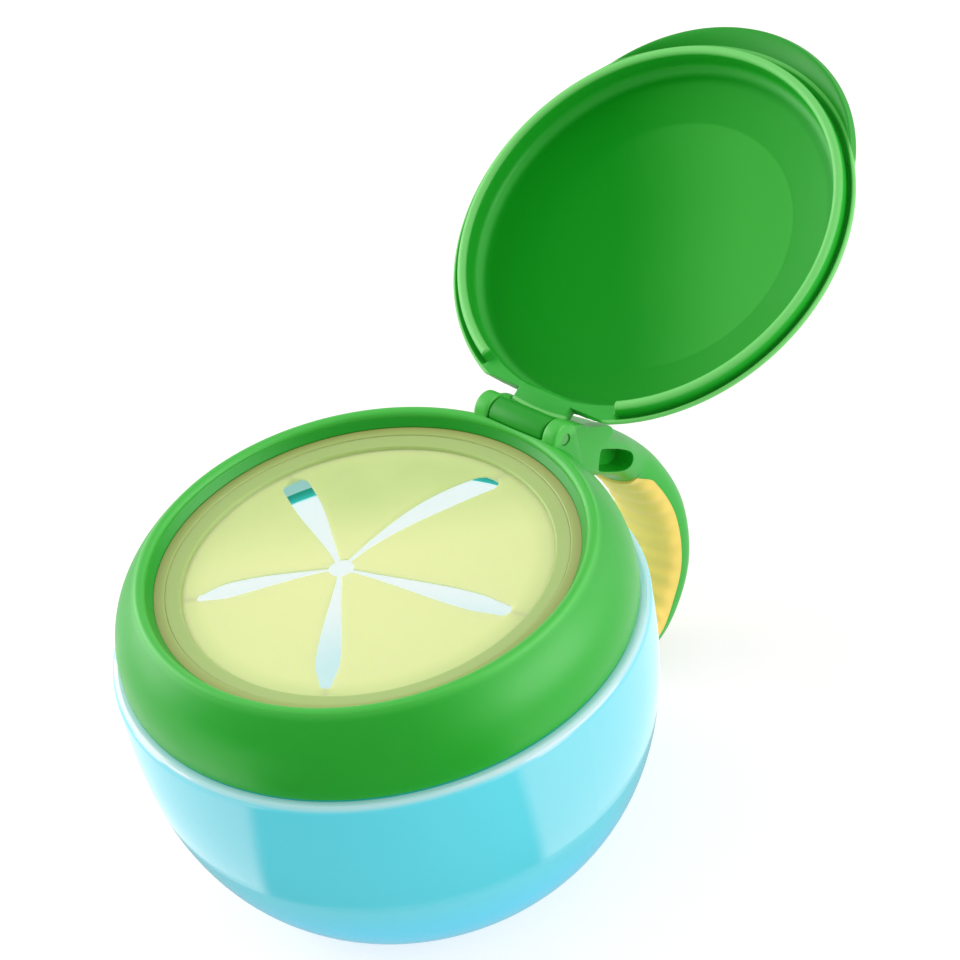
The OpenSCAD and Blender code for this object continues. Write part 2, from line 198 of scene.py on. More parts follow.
def plastic(name, colour, rough=0.3, sss=0.0, edge=0.0004, spec=0.5, sss_rgb=(0.4, 1.0, 0.3), well_shade=None,
            crown_highlight=None):
    """Moulded plastic: faint flow variation in its colour, fine grain in its gloss, softened edges.

    The first of the two extra tones is painted shade that darkens the collar's inner wall, the second a painted
    highlight that lightens the lip's and the ears' tops.
    """
    m = Mat(name)
    col = m.ramp(m.noise(22, 3, 0.5), [(0.3, tint(colour, 0.96)), (0.7, tint(colour, 1.04))])
    # painted shade: the collar's inner wall under the mouth is darkened
    if well_shade:
        near = m.step(m.radius(), 0.0374, 0.0384, 1.0, 0.0)
        col = m.mix(m.math("MULTIPLY", near, m.step(m.axis(2), 0.057, 0.0585)), col, well_shade)
    # painted highlight: the green above 62.1 mm, on the lip's and the ears' tops, is lightened
    if crown_highlight:
        col = m.mix(m.step(m.axis(2), 0.0621, 0.0633), col, crown_highlight)
    gl = m.step(m.noise(160, 4, 0.6), 0.0, 1.0, rough * 0.85, rough * 1.15)
    nrm = m.bump(m.noise(900, 2, 0.5), 0.05, 0.00005, m.soft_edges(edge))
    b = m.bsdf(Base_Color=col, Roughness=gl, Normal=nrm)
    b.inputs["Subsurface Weight"].default_value = sss
    b.inputs["Subsurface Radius"].default_value = sss_rgb
    b.inputs["Subsurface Scale"].default_value = 0.0012
    b.inputs["Specular IOR Level"].default_value = spec
    return m.done(b)


# sizes in millimetres, as in the part's source; only RIB_H, HUB_R and SLITS differ

BOWL_R, SHOULDER, NECK_R, WALL = 46.0, 48.6, 40.4, 2.2
COLLAR_R, BORE_R, POCKET_R, MOUTH_R = 44.35, 42.0, 37.7, 37.1
LIP_R, LIP_Z, CEIL_Z, WEB_Z, COLLAR_Z = 1.1, 63.5, 61.05, 58.7, 48.9
PIN_Y, PIN_Z = 40.8, 62.7
EAR_X0, EAR_X1, EAR_R, KNUCKLE_R, KNUCKLE_W = 6.3, 9.3, 3.0, 2.75, 12.0
BAND_R, DISC_R, DISC_Z, DISC_T, CARRIER_Z = 34.2, 31.6, 59.85, 1.2, 59.5
LID_R, LID_CUT, SKIRT_R, SKIRT_IN, SKIRT_H = 37.8, 35.05, 36.2, 34.4, 2.0
DOME_H, ROOF_H, ROOF_R, ROOF_DROP, TAB, RIM_Z, OPEN = 9.6, 8.0, 24.5, 0.8, 4.3, 63.55, 154.4
SKIRT_OPEN = 14.5
HANDLE_Y, HANDLE_TOP, HANDLE_LOW = COLLAR_R - 1.3, CEIL_Z - 4.2, 4.8
REACH, HANDLE_W, HANDLE_T, U_GRIP, RIB_H, RIB_STEP = 23.4, 15.0, 8.2, 2.42, 0.42, 4.4
HUB, HUB_R = np.array([-4.5, -1.9]), 2.1
# a slit: azimuth of its end, land left to the rim, widest gap, bow, and how much its end narrows
SLITS = [(9.4, 3.4, 4.3, 0.3, 0.45), (84.4, 2.2, 4.9, 2.3, 0.0), (159, 1.5, 4.7, -0.3, 0.0),
         (225.2, 2.6, 4.0, -0.8, 0.7), (298.9, 2.4, 4.2, -0.3, 0.65)]
# where the flaps' roots end, as in the source: azimuth and land
ROOTS = [(9.4, 3.4), (83.1, 3.0), (159, 3.8), (225.2, 2.6), (298.9, 2.4)]
# the handle's line, in shares of its reach and height
LINE = [(-0.12, 1.04), (0.3, 0.9), (0.605, 0.775), (0.85, 0.615), (1, 0.41), (0.95, 0.19), (0.66, 0.035),
        (0.28, 0)]
# only in this script: the screw thread's rise in a turn and its starts, the flaps' thickness at their free
# edges, and their rows along the slits, round the slits' ends and on to the rim
LEAD, STARTS, EDGE_T, FLAP_STEPS = 9.0, 3, 0.42, (26, 12, 8)


def sup(t, p):
    return max(0.0, 1 - max(0.0, min(1.0, t)) ** p) ** (1 / p)


def smooth(t):
    u = max(0.0, min(1.0, t))
    return u * u * (3 - 2 * u)


def arc(c, r, a0, a1, n):
    turns = [(a0 + (a1 - a0) * i / n) * DEG for i in range(n + 1)]
    return [(c[0] + r * math.cos(t), c[1] + r * math.sin(t)) for t in turns]


# mesh helpers

def make(name, verts, faces, mat=None, sharp=35, merge=0.004):
    me = bpy.data.meshes.new(name)
    me.from_pydata([(v[0] * MM, v[1] * MM, v[2] * MM) for v in verts], [], faces)
    bm = bmesh.new()
    bm.from_mesh(me)
    bmesh.ops.remove_doubles(bm, verts=bm.verts, dist=merge * MM)
    bmesh.ops.dissolve_degenerate(bm, edges=bm.edges, dist=1e-7)
    bmesh.ops.recalc_face_normals(bm, faces=bm.faces)
    bm.to_mesh(me)
    bm.free()
    o = bpy.data.objects.new(name, me)
    bpy.context.scene.collection.objects.link(o)
    if mat:
        me.materials.append(mat)
    shade(o, sharp)
    return o


def shade(o, sharp=35):
    me = o.data
    me.polygons.foreach_set("use_smooth", [True] * len(me.polygons))
    me.set_sharp_from_angle(angle=math.radians(sharp))


def grid_faces(rows, cols, close_rows=False, close_cols=False):
    f = []
    for i in range(rows if close_rows else rows - 1):
        for j in range(cols if close_cols else cols - 1):
            a, b = i * cols + j, i * cols + (j + 1) % cols
            c, d = ((i + 1) % rows) * cols + (j + 1) % cols, ((i + 1) % rows) * cols + j
            f.append((a, b, c, d))
    return f


def revolve(name, prof, mat=None, n=240):
    """Turns a closed (r, z) loop round the z axis."""
    verts, k = [], len(prof)
    for i in range(n):
        a = 2 * math.pi * i / n
        verts += [(r * math.cos(a), r * math.sin(a), z) for r, z in prof]
    return make(name, verts, grid_faces(n, k, True, True), mat)


def rings(name, loops, mat=None, sharp=35):
    """Skins a list of closed loops and caps both ends."""
    k = len(loops[0])
    verts = [p for l in loops for p in l]
    faces = grid_faces(len(loops), k, False, True)
    faces += [tuple(range(k)), tuple(range(len(verts) - k, len(verts)))]
    return make(name, verts, faces, mat, sharp)


def rounded_slab(name, outline, x0, x1, rad):
    """Extrudes an outline (y, z) along x with rounded end edges. outline(d) is the outline drawn in by d."""
    n = 4
    ends = [(rad * (1 - math.cos(90 * DEG * i / n)), rad * (1 - math.sin(90 * DEG * i / n)))
            for i in range(n + 1)]
    loops = [[(x0 + e, y, z) for y, z in outline(d)] for e, d in ends]
    loops += [[(x1 - e, y, z) for y, z in outline(d)] for e, d in ends[::-1]]
    return rings(name, loops)


def boolean(a, b, op="UNION"):
    m = a.modifiers.new("b", "BOOLEAN")
    m.object, m.operation, m.solver = b, op, "MANIFOLD"
    me = bpy.data.meshes.new_from_object(a.evaluated_get(bpy.context.evaluated_depsgraph_get()))
    a.modifiers.clear()
    a.data = me
    bpy.data.objects.remove(b)
    return a


def inset(poly, d):
    """Draws a convex-ish closed outline in by d."""
    k, out = len(poly), []
    area = sum(poly[i][0] * poly[(i + 1) % k][1] - poly[(i + 1) % k][0] * poly[i][1] for i in range(k))
    s = 1 if area > 0 else -1
    for i in range(k):
        p, q, r = (np.array(poly[j % k], float) for j in (i - 1, i, i + 1))
        e, f = q - p, r - q
        e, f = e / max(1e-9, np.linalg.norm(e)), f / max(1e-9, np.linalg.norm(f))
        nn = np.array([-(e[1] + f[1]), e[0] + f[0]]) * s
        nn = nn / max(1e-9, np.linalg.norm(nn))
        c = max(0.5, abs(nn @ (np.array([-e[1], e[0]]) * s)))
        out.append(tuple(q + nn * d / c))
    return out


def chaikin(poly, it=3):
    for _ in range(it):
        out = []
        for i in range(len(poly)):
            p, q = np.array(poly[i], float), np.array(poly[(i + 1) % len(poly)], float)
            out += [tuple(0.75 * p + 0.25 * q), tuple(0.25 * p + 0.75 * q)]
        poly = out
    return poly


# materials

# the collar's green, with painted shade on its inner wall and a painted highlight on the lip's and the ears'
# tops
green = plastic("green_plastic", srgb(26, 173, 35), 0.38, edge=0.0003, well_shade=srgb(12, 158, 24),
                crown_highlight=srgb(66, 192, 64))


def lid_material():
    """The lid's green, laid out in the closed lid's frame: the inside painted darker, with painted light toward
    one side; painted highlights on the skirt's end and outer rim; painted shade under the thumb tab.
    """
    m = Mat("lid_plastic")
    rot = m.n("ShaderNodeVectorRotate", rotation_type="X_AXIS")
    m.put(rot.inputs["Vector"], m.coords())
    rot.inputs["Center"].default_value = (0, PIN_Y * MM, PIN_Z * MM)
    rot.inputs["Angle"].default_value = OPEN * DEG
    sep = m.n("ShaderNodeSeparateXYZ")
    m.put(sep.inputs[0], rot.outputs[0])
    x, y = sep.outputs[0], sep.outputs[1]
    r = m.length(x, y)
    # painted light and shade: a lighter field toward one side of the inside, fullest in the roof's middle
    # panel, dimmer on the ring round it and gone near the wall
    tone = m.math("ADD", m.math("SUBTRACT", x, m.math("MULTIPLY", y, 0.7)),
                  m.math("MULTIPLY", m.math("SUBTRACT", m.noise(30, 3, 0.5), 0.5), 0.008))
    light = m.math("MULTIPLY", m.step(tone, -0.012, 0.02), m.step(r, 0.0241, 0.0247, 1.0, 0.45))
    light = m.math("MULTIPLY", light, m.step(r, 0.031, 0.0325, 1.0, 0.0))
    # the side of the shell: its normal in the closed lid's frame points up outside and down inside
    turn = m.n("ShaderNodeVectorRotate", rotation_type="X_AXIS")
    m.put(turn.inputs["Vector"], m.n("ShaderNodeTexCoord").outputs["Normal"])
    turn.inputs["Angle"].default_value = OPEN * DEG
    face = m.n("ShaderNodeSeparateXYZ")
    m.put(face.inputs[0], turn.outputs[0])
    top = m.step(face.outputs[2], -0.1, 0.1)
    outer = m.math("MAXIMUM", m.step(r, 0.0325, 0.0336), top)
    # painted shade: the inside is darker than the outside except in that painted light field
    col = m.mix(light, srgb(0, 142, 12), srgb(58, 172, 56))
    # painted highlights: the skirt's end and the outer rim are painted pale
    tip = m.math("MULTIPLY", m.step(sep.outputs[2], 0.0616, 0.0624, 1.0, 0.0), m.step(r, 0.0338, 0.0344))
    tip = m.math("MULTIPLY", tip, m.step(r, 0.0366, 0.0368, 1.0, 0.0))
    rim = m.math("MULTIPLY", m.step(r, 0.0371, 0.0374), m.step(r, 0.0378, 0.0379, 1.0, 0.0))
    # painted shade: outer faces that point down beyond the rim, the thumb tab's underside, are darker
    plain_skin = m.math("MAXIMUM", top, m.step(r, 0.0376, 0.038, 1.0, 0.0))
    skin = m.mix(plain_skin, srgb(12, 156, 22), srgb(30, 174, 40))
    skin = m.mix(m.math("MAXIMUM", tip, rim), skin, srgb(116, 214, 108))
    nrm = m.bump(m.noise(900, 2, 0.5), 0.05, 0.00005, m.soft_edges(0.0003))
    gl = m.step(m.noise(160, 4, 0.6), 0.0, 1.0, 0.36, 0.48)
    b = m.bsdf(Base_Color=col, Roughness=gl, Normal=nrm)
    b.inputs["Specular IOR Level"].default_value = 0.3
    b.inputs["Specular Tint"].default_value = (0.2, 1.0, 0.25, 1.0)
    out = m.bsdf(Base_Color=skin, Roughness=gl, Normal=nrm)
    out.inputs["Specular IOR Level"].default_value = 0.4
    return m.done(m.shaders(outer, b, out))


def grip_material():
    m = Mat("grip_rubber")
    yellow = srgb(255, 217, 108)
    tone = m.noise(60, 4, 0.6)
    col = m.ramp(tone, [(0.3, tint(yellow, 0.94)), (0.7, tint(yellow, 1.05))])
    speck = m.noise(2600, 2, 0.6)
    b = m.bsdf(Base_Color=col, Roughness=0.62, Normal=m.bump(speck, 0.35, 0.00006))
    b.inputs["Subsurface Weight"].default_value = 0.25
    b.inputs["Subsurface Radius"].default_value = (1.0, 0.7, 0.2)
    b.inputs["Subsurface Scale"].default_value = 0.0015
    # painted glow: the grip gives off a faint orange light of its own
    b.inputs["Emission Color"].default_value = (1.0, 0.42, 0.06, 1.0)
    b.inputs["Emission Strength"].default_value = 0.13
    b.inputs["Sheen Weight"].default_value = 0.15
    return m.done(b)


def bowl_material():
    """Milky cyan with a glossy skin, a painted glow strongest low down, and a painted highlight band at the
    shoulder; the inner face is painted pale and glows, standing in for light through the wall, and turns teal
    toward the neck.
    """
    m = Mat("cup_plastic")
    z = m.axis(2)
    r = m.radius()
    tone = m.noise(16, 2, 0.5)
    outer = m.ramp(tone, [(0.3, srgb(100, 225, 241)), (0.7, srgb(108, 229, 243))])
    outer = m.mix(m.step(z, 0.012, 0.024, 1.0, 0.0), outer, srgb(80, 224, 255))
    # painted highlight: a pale band round the shoulder just under the collar
    outer = m.mix(m.step(z, 0.0476, 0.0484), outer, srgb(180, 236, 242))
    # painted light: the inner face is near white, standing in for light through the wall; it turns teal and
    # darker toward the neck
    inner = m.mix(m.step(z, 0.012, 0.022), srgb(214, 230, 236), srgb(245, 238, 242))
    inner = m.mix(m.step(z, 0.0448, 0.0458), inner, srgb(50, 190, 190))
    inner = m.mix(m.step(z, 0.0476, 0.05), inner, srgb(8, 142, 122))
    # the middle of the wall: everything nearer the axis is the inner face
    prof = m.n("ShaderNodeFloatCurve")
    m.put(prof.inputs["Value"], m.math("MULTIPLY", z, 20.0))
    c = prof.mapping.curves[0]
    mid_r = lambda zz: (bowl_r(zz) if zz < SHOULDER - 0.2 else NECK_R) - WALL / 2
    c.points[0].location = (0, mid_r(0) / 50)
    c.points[1].location = (1, mid_r(50) / 50)
    for i in range(1, 20):
        c.points.new(i / 20, mid_r(i * 2.5) / 50)
    prof.mapping.update()
    wall = m.math("MULTIPLY", prof.outputs[0], 0.05)
    inside = m.math("MULTIPLY", m.math("GREATER_THAN", wall, r), m.math("GREATER_THAN", z, 0.0022))
    gl = m.step(m.noise(140, 3, 0.5), 0, 1, 0.07, 0.11)
    nrm = m.bump(m.noise(500, 2, 0.5), 0.02, 0.00005)
    # painted glow: the outer skin gives off light of its own, most near the bottom
    b = m.bsdf(Base_Color=outer, Roughness=gl, Normal=nrm, Emission_Color=outer,
               Emission_Strength=m.step(z, 0.006, 0.028, 0.22, 0.08))
    b.inputs["IOR"].default_value = 1.9
    b.inputs["Specular Tint"].default_value = (1.0, 0.4, 0.35, 1.0)
    # painted glow: the inner face gives off light of its own
    c = m.bsdf(Base_Color=inner, Roughness=gl, Normal=nrm, Emission_Color=inner, Emission_Strength=0.39)
    c.inputs["Specular IOR Level"].default_value = 0.3
    return m.done(m.shaders(inside, b, c))


def bowl_r(z):
    return BOWL_R * sup((SHOULDER + 1 - z) / (1.1 * (SHOULDER + 1)), 2.65)


def membrane_material():
    m = Mat("membrane_silicone")
    r = m.radius()
    hub = m.radius(HUB[0] * MM, HUB[1] * MM)
    pale = m.mix(m.step(hub, 0.0, 0.03), srgb(236, 243, 172), srgb(232, 241, 170))
    # painted shade: the far side, toward the upper left, is greener and darker
    far = m.step(m.math("SUBTRACT", m.axis(1), m.axis(0)), 0.003, 0.036)
    pale = m.mix(far, pale, srgb(192, 214, 138))
    # painted shade: darker toward the rim, in the recess under the band
    edge = m.mix(m.step(r, 0.027, 0.0314, 0.0, 0.7), pale, srgb(206, 224, 150))
    n = m.noise(30, 3, 0.5)
    col = m.mix(m.step(n, 0.35, 0.65, 0.0, 0.35), edge, srgb(235, 242, 172))
    b = m.bsdf(Base_Color=col, Roughness=0.5, Normal=m.bump(m.noise(1400, 2, 0.6), 0.12, 0.00004))
    b.inputs["Specular IOR Level"].default_value = 0.35
    b.inputs["Subsurface Weight"].default_value = 0.4
    b.inputs["Subsurface Radius"].default_value = (0.8, 1.0, 0.4)
    b.inputs["Subsurface Scale"].default_value = 0.003
    b.inputs["Sheen Weight"].default_value = 0.1
    return m.done(b)


def band_material(name, colour):
    m = Mat(name)
    r = m.radius()
    col = m.mix(m.step(r, 0.0335, 0.0368), colour, srgb(172, 174, 98))
    col = m.mix(m.step(m.noise(40, 3, 0.5), 0.3, 0.7, 0.0, 0.3), col, tint(colour, 0.9))
    b = m.bsdf(Base_Color=col, Roughness=0.4, Normal=m.bump(m.noise(1100, 2, 0.6), 0.08, 0.00004))
    b.inputs["Subsurface Weight"].default_value = 0.3
    b.inputs["Subsurface Radius"].default_value = (0.8, 1.0, 0.4)
    b.inputs["Subsurface Scale"].default_value = 0.002
    return m.done(b)


lid_green = lid_material()
grip_mat, bowl_mat, silicone = grip_material(), bowl_material(), membrane_material()
carrier_mat = band_material("carrier_plastic", srgb(172, 196, 112))
band_mat = band_material("membrane_band", srgb(178, 203, 122))
seal_mat = plastic("seal_silicone", srgb(232, 232, 226), 0.5, sss=0.3, sss_rgb=(1, 1, 1))
pin_mat = plastic("pin_coat", srgb(70, 170, 66), 0.28, edge=0.0002, spec=0.6)


def dress(node, mat):
    me = nodes[node].data
    me.materials.clear()
    me.materials.append(mat)


for n in nodes:
    dress(n, green)
dress("bowl", bowl_mat)
dress("seal_ring", seal_mat)
dress("membrane_carrier", carrier_mat)
dress("hinge_pin", pin_mat)


# the handle's line and section

PTS = [np.array([HANDLE_Y + REACH * a, HANDLE_LOW + (HANDLE_TOP - HANDLE_LOW) * b]) for a, b in LINE]
U_END = len(PTS) - 1.0


def mid(u):
    i = min(len(PTS) - 2, int(math.floor(u)))
    t = u - i
    b, c = PTS[i], PTS[i + 1]
    a = 2 * b - c if i == 0 else PTS[i - 1]
    d = 2 * c - b if i == len(PTS) - 2 else PTS[i + 2]
    return 0.5 * (2 * b + (c - a) * t + (2 * a - 5 * b + 4 * c - d) * t * t + (3 * b - a - 3 * c + d) * t ** 3)


def along(u):
    v = mid(min(U_END, u + 0.02)) - mid(max(0, u - 0.02))
    return v / np.linalg.norm(v)


def tip_round(u):
    return 1.0 if u < U_END - 0.25 else math.sqrt(max(0.02, 1 - ((u - U_END + 0.25) / 0.252) ** 2))


def half_w(u):
    w = HANDLE_W / 2 - 0.7 * smooth((u - 1.6) / 1.0)
    return tip_round(u) * (w + (EAR_X1 - 0.2 - w) * (1 - smooth(u / 2.6)))


def seam(u):
    return (-0.99 + 0.5 * smooth((u - U_GRIP) / 0.04) + 0.32 * smooth((u - U_GRIP) / 0.5)
            + 0.35 * smooth((u - 5.4) / 1.2))


def power(u):
    """Power of the section's superellipse: squarer at the root."""
    return 5 - 2.6 * smooth(u / 2.2)


def section(u, a, grow=0.0):
    n = power(u)
    c, s = math.cos(a * DEG), math.sin(a * DEG)
    m, t = mid(u), along(u)
    x = math.copysign(abs(c) ** (2 / n), c) * (half_w(u) + grow)
    v = math.copysign(abs(s) ** (2 / n), s) * (tip_round(u) * HANDLE_T / 2 + grow)
    return (x, m[0] - v * t[1], m[1] + v * t[0])


def seam_angle(u):
    c = seam(u)
    return math.copysign(math.asin(min(1, abs(c) ** (power(u) / 2))) / DEG, c)


def core_loops():
    """Hard side of the handle: full section at the root, and outside of the seam where the grip covers it."""
    us = [U_GRIP * i / 40 for i in range(41)]
    us += [U_GRIP + 0.045 + (U_END - 0.3 - U_GRIP) * i / 90 for i in range(91)]
    us += [U_END - 0.25 * (1 - i / 10) for i in range(1, 11)]

    def ring(u, f):
        side = [f * (1 - i / 10) for i in range(10)]
        return [section(u, a) for a in side + [180 * i / 32 for i in range(33)] + [180 - a for a in side[::-1]]]

    out = []
    for k, u in enumerate(us):
        out.append(ring(u, seam_angle(u - 0.006 if k <= 40 else u)))
        if k == 40:  # the step where the grip starts
            out.append(ring(u + 0.0005, seam_angle(U_GRIP + 0.05)))
    return out


def ribs(u):
    """Height of the grip's ribs along the handle, where u grows by 1 in about 11.5 mm."""
    return RIB_H * (0.5 - 0.5 * math.cos(2 * math.pi * u * 11.5 / RIB_STEP))


def grip_loops():
    out, n = [], 190
    u0, u1 = U_GRIP + 0.05, U_END - 0.3
    for j in range(n + 1):
        u = u0 + (u1 - u0) * j / n
        f = seam_angle(u)
        out.append([section(u, 180 - f + (180 + 2 * f) * q, 0.02 + ribs(u) * smooth(5 * min(q, 1 - q)))
                    for q in (k / 40 for k in range(41))])
    return out


# the collar: turned body, ears, cheeks and the handle's hard core as one moulding

def collar_out(z):
    w, top, rim = COLLAR_Z + 2.3, LIP_Z - LIP_R / 2, MOUTH_R + 0.1 + LIP_R * (1 + math.cos(30 * DEG))
    if z < w:
        return COLLAR_R - 0.06 * (w - z)
    fall = lambda s: (1 - sup(0.515 * s, 2.2)) / (1 - sup(0.515, 2.2))
    return COLLAR_R - (COLLAR_R - rim) * fall((z - w) / (top - w))


def make_collar():
    bead = (MOUTH_R + LIP_R + 0.1, LIP_Z - LIP_R)
    ze, z0 = LIP_Z - LIP_R / 2, COLLAR_Z
    r0 = collar_out(z0)
    prof = arc((r0 - 0.5, z0 + 0.5), 0.5, -90, 0, 5)
    wall_z = [z0 + 0.5 + (ze - z0 - 0.5) * i / 44 for i in range(1, 45)]
    prof += [(collar_out(z), z) for z in wall_z]
    prof += arc(bead, LIP_R, 30, 178, 22)[1:]
    prof += [(MOUTH_R - 0.8, CEIL_Z + 0.25), (MOUTH_R - 1, CEIL_Z), (POCKET_R, CEIL_Z), (POCKET_R, WEB_Z)]
    prof += [(BORE_R - 0.6, WEB_Z), (BORE_R, WEB_Z - 0.6), (BORE_R, z0 + 0.6), (BORE_R + 0.5, z0)]
    body = revolve("collar_shell", prof, green, n=240)

    def ear(d):
        r = EAR_R - d
        return arc((PIN_Y, PIN_Z), r, 0, 180, 28) + [(PIN_Y - r, PIN_Z - 8 + d), (PIN_Y + r, PIN_Z - 8 + d)]

    r = EAR_R
    ch = [(0, -8), (0, r - 1.2), (r, r - 2.1), (r + 2, -0.2), (r + 3.6, -2.2), (r + 6.5, -3.9), (r + 9, -5.6),
          (r + 9, -8)]
    ch = [(PIN_Y + y, PIN_Z + z) for y, z in ch]
    cheek = lambda d: inset(chaikin(ch, 2), d)
    block = rings("handle_core", core_loops(), green)
    parts = [rounded_slab("e", ear, EAR_X0, EAR_X1, 0.55), rounded_slab("e", ear, -EAR_X1, -EAR_X0, 0.55),
             rounded_slab("c", cheek, EAR_X0, EAR_X1 - 0.5, 0.4),
             rounded_slab("c", cheek, 0.5 - EAR_X1, -EAR_X0, 0.4)]
    for p in parts:
        block = boolean(block, p)
    for x0, x1 in ((8.3, 10.5), (-10.5, -8.3)):
        hole = arc((PIN_Y, PIN_Z), 1.08, 0, 352.5, 47)
        block = boolean(block, rings("hole", [[(q, y, z) for y, z in hole] for q in (x0, x1)]), "DIFFERENCE")
    b = BORE_R - 0.06
    hollow = [(0, z0 - 20), (b, z0 - 20), (b, WEB_Z - 0.4), (POCKET_R - 0.06, WEB_Z - 0.06),
              (POCKET_R - 0.06, CEIL_Z - 0.05), (MOUTH_R + 0.4, LIP_Z - LIP_R), (MOUTH_R + 0.4, 90), (0, 90)]
    block = boolean(block, revolve("void", hollow, n=200), "DIFFERENCE")
    body = boolean(body, block)
    x, k = EAR_X0, KNUCKLE_R + 0.25
    room = [(PIN_Y + k * math.cos(a * DEG), PIN_Z + k * math.sin(a * DEG)) for a in range(170, 291, 6)]
    room += [(PIN_Y + 8.5, PIN_Z + 0.1), (PIN_Y + 8.5, PIN_Z + 12), (PIN_Y - k, PIN_Z + 12)]
    body = boolean(body, rings("room", [[(q, y, z) for y, z in room] for q in (-x, x)]), "DIFFERENCE")
    pocket = [(5.6, -6.6), (4.4, -10.1), (5.2, -11.2), (10.1, -15.1), (12.4, -16.1), (13.8, -15.6),
              (14.3, -14.2), (13.7, -12.8), (10.6, -9.9), (6.4, -6.7)]
    pocket = chaikin([(HANDLE_Y + y, CEIL_Z + z) for y, z in pocket], 3)
    for s in (1, -1):
        cut = rings("p", [[(q * s, y, z) for y, z in pocket] for q in (3.6, 12.0)])
        body = boolean(body, cut, "DIFFERENCE")
    shade(body, 30)
    body.data.materials.clear()
    body.data.materials.append(green)
    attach(body, "collar")
    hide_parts("collar")
    return body


make_collar()

grip = rings("grip_skin", grip_loops(), grip_mat, sharp=50)
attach(grip, "collar")
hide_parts("handle_grip")


# screw threads in the gap between neck and collar

def thread(name, r_root, r_top, z_start, half, turns, mat, body):
    """Ridges that climb LEAD millimetres a turn."""
    verts, faces, n = [], [], 56
    for s in range(STARTS):
        base = len(verts)
        for i in range(n + 1):
            q = i / n
            a = 2 * math.pi * (s / STARTS + turns * q)
            z = z_start + LEAD * turns * q
            k = smooth(min(q, 1 - q) * 14)
            rt = r_root + (r_top - r_root) * k
            for r, dz in ((r_root, -half), (rt, -half * 0.45), (rt, half * 0.45), (r_root, half)):
                verts.append((r * math.cos(a), r * math.sin(a), z + dz))
        for i in range(n):
            for j in range(4):
                a0, b0 = base + i * 4 + j, base + i * 4 + (j + 1) % 4
                faces.append((a0, b0, b0 + 4, a0 + 4))
        faces += [tuple(base + j for j in range(4)), tuple(base + n * 4 + j for j in range(4))]
    o = make(name, verts, faces, mat, 40)
    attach(o, body)
    return o


thread("neck_thread", NECK_R - 0.15, NECK_R + 1.05, 51.0, 0.75, 0.3, bowl_mat, "bowl")


def seal_piece():
    """The gasket on the neck's rim, a soft ring with rounded corners."""
    prof, rad = [], 0.345
    r0, r1, z0, z1 = NECK_R - 1.65, NECK_R - 0.85, WEB_Z - 0.9, WEB_Z - 0.4
    for cr, cz, a0 in ((r1, z1, 0), (r0, z1, 90), (r0, z0, 180), (r1, z0, 270)):
        prof += arc((cr, cz), rad, a0, a0 + 90, 6)
    o = revolve("seal", prof, seal_mat, n=180)
    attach(o, "seal")
    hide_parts("seal_ring")


seal_piece()
thread("collar_thread", BORE_R + 0.15, BORE_R - 1.1, 50.2, 0.6, 0.16, green, "collar")


# the membrane: a ring that stays and five flaps, each one sheet from the rim over its root to the middle

def slit_end(k):
    a, land = SLITS[k % 5][:2]
    return (DISC_R - land) * np.array([math.cos(a * DEG), math.sin(a * DEG)])


def root_end(k):
    a, land = ROOTS[k % 5]
    return (DISC_R - land) * np.array([math.cos(a * DEG), math.sin(a * DEG)])


def slit_half(k, t):
    q = SLITS[k % 5]
    g = q[2] / 2 - 0.4
    return 0.4 + g * smooth(t / 0.78) * (1 - q[4] * smooth((t - 0.78) / 0.22))


def slit_side(k, t, side):
    """Point on one side of slit k; past its end the two sides meet on its axis and run on to the rim."""
    e = slit_end(k)
    ln = np.linalg.norm(e - HUB)
    d = (e - HUB) / ln
    n = np.array([-d[1], d[0]])
    tt = min(t, 1.0)
    h = slit_half(k, tt)
    end = slit_half(k, 1.0) / ln
    if t > 1 - end:
        q = (t - (1 - end)) / end
        h = slit_half(k, 1 - end) * math.sqrt(max(0.0, 1 - min(1.0, q) ** 2))
    bow = SLITS[k % 5][3] * 4 * tt * (1 - tt)
    return HUB + (e - HUB) * t + (side * h + bow) * n


def to_rim(p, d, r=DISC_R):
    b = p @ d
    return -b + math.sqrt(b * b + r * r - p @ p)


def flap_rows(k, cols=28):
    ea, eb = slit_end(k), slit_end(k + 1)
    la, lb = np.linalg.norm(ea - HUB), np.linalg.norm(eb - HUB)
    da, db = (ea - HUB) / la, (eb - HUB) / lb
    ra, rb = to_rim(HUB, da), to_rim(HUB, db)
    rows = []
    n1, n2, n3 = FLAP_STEPS
    for i in range(n1 + n2 + n3 + 1):
        if i <= n1:
            q = i / n1
            ta, tb = HUB_R / la + (0.9 - HUB_R / la) * q, HUB_R / lb + (0.9 - HUB_R / lb) * q
        elif i <= n1 + n2:
            q = math.sin(90 * DEG * (i - n1) / n2)
            ta = tb = 0.9 + 0.1 * q
        else:
            q = (i - n1 - n2) / n3
            ta, tb = 1 + (ra / la - 1) * q, 1 + (rb / lb - 1) * q
        a, b = slit_side(k, ta, 1), slit_side(k + 1, tb, -1)
        pa, pb = a - HUB, b - HUB
        aa, ab = math.atan2(pa[1], pa[0]), math.atan2(pb[1], pb[0])
        while ab < aa:
            ab += 2 * math.pi
        w = smooth((i - n1 * 0.5) / (n1 * 0.5 + n2 + n3))
        row = []
        for j in range(cols + 1):
            s = j / cols
            th = aa + (ab - aa) * s
            d = np.array([math.cos(th), math.sin(th)])
            rl = np.linalg.norm(pa) * (1 - s) + np.linalg.norm(pb) * s
            rim = to_rim(HUB, d)
            bulge = rim - (ra * (1 - s) + rb * s)
            row.append(HUB + d * (rl + w * bulge))
        rows.append(row)
    return rows


